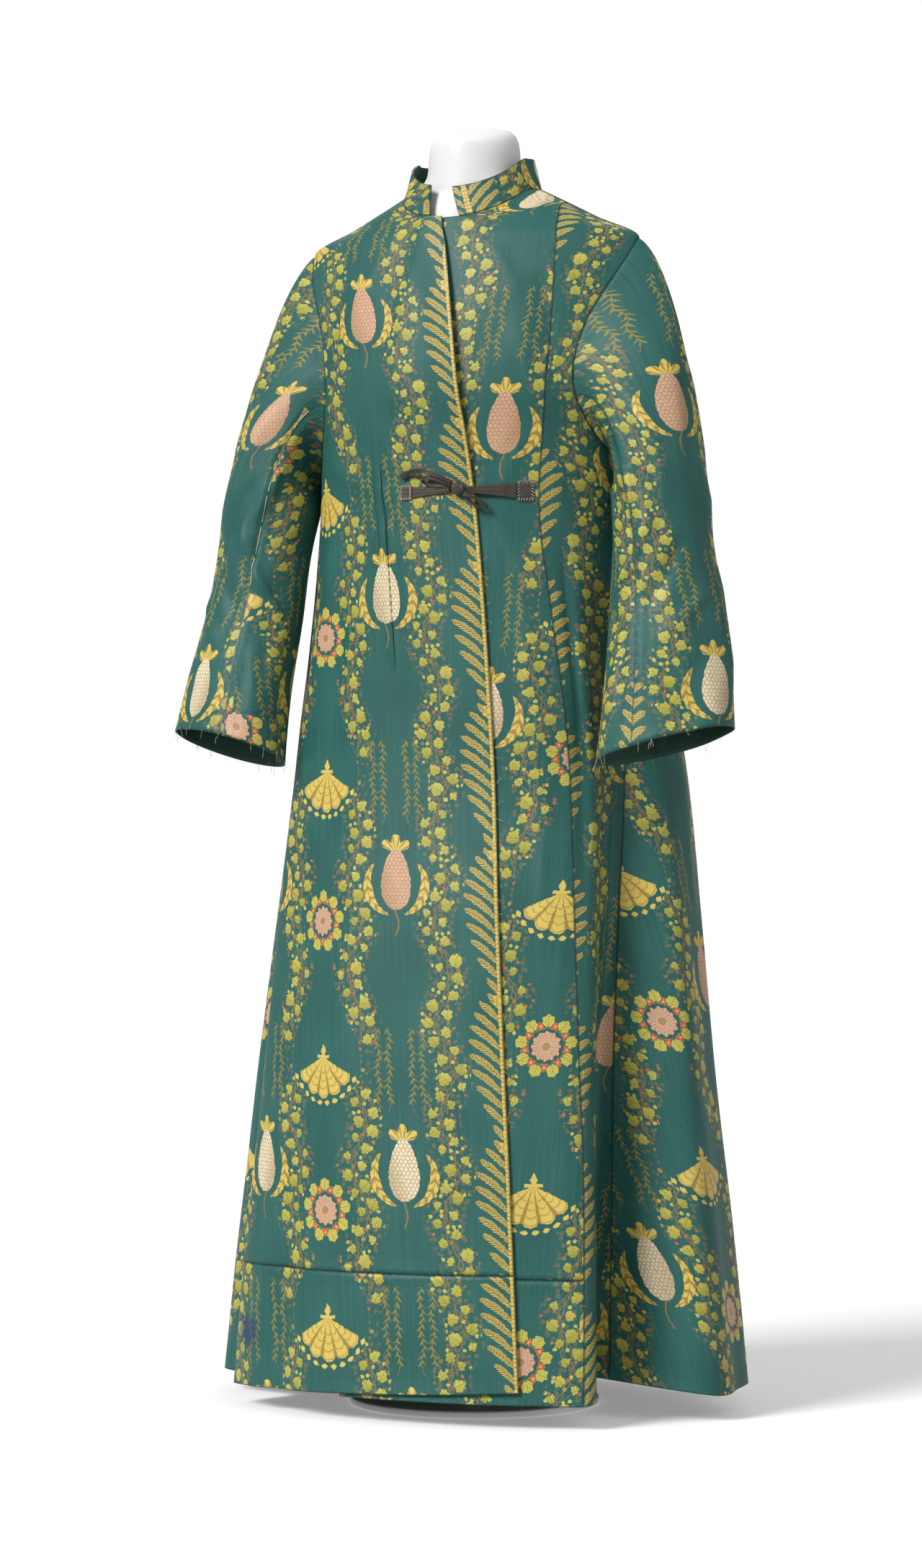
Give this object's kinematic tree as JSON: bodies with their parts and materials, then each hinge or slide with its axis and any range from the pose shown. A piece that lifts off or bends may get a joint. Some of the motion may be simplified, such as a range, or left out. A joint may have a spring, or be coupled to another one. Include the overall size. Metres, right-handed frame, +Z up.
{
  "type": "banyan on a dress form",
  "caption": "Full-length figured silk banyan with a standing band collar, long open sleeves and ribbon ties, worn by a limbless dress form on a round base.",
  "frame": {"origin": "centre of the underside of the stand's base, on the floor under the neck", "axes": "+Z up, the wearer faces -Y, the wearer's left is +X"},
  "size_m": [0.676, 0.4793, 1.445],
  "materials": {
    "silk": "figured silk with a soft sheen",
    "ribbon": "dark ribbon, worn",
    "thread": "sewing thread and frayed silk",
    "form": "smooth matt white",
    "stand_metal": "white lacquer"
  },
  "bodies": {
    "root": {"front_right": "silk", "front_left": "silk", "side_front_left": "silk", "back_left": "silk", "back_right": "silk", "hem_band_right": "silk", "hem_band_left": "silk", "sleeve_left": "silk", "sleeve_right": "silk", "collar": "silk", "tie_tab_right": "ribbon", "tie_tab_left": "ribbon", "tie_right": "ribbon", "tie_left": "ribbon", "tie_tail_left": "ribbon", "tie_loop_left": "ribbon", "tie_loop_right": "ribbon", "tie_knot": "ribbon", "dress_form": "form", "form_pole": "stand_metal", "form_base": "stand_metal"}
  },
  "joints": []
}
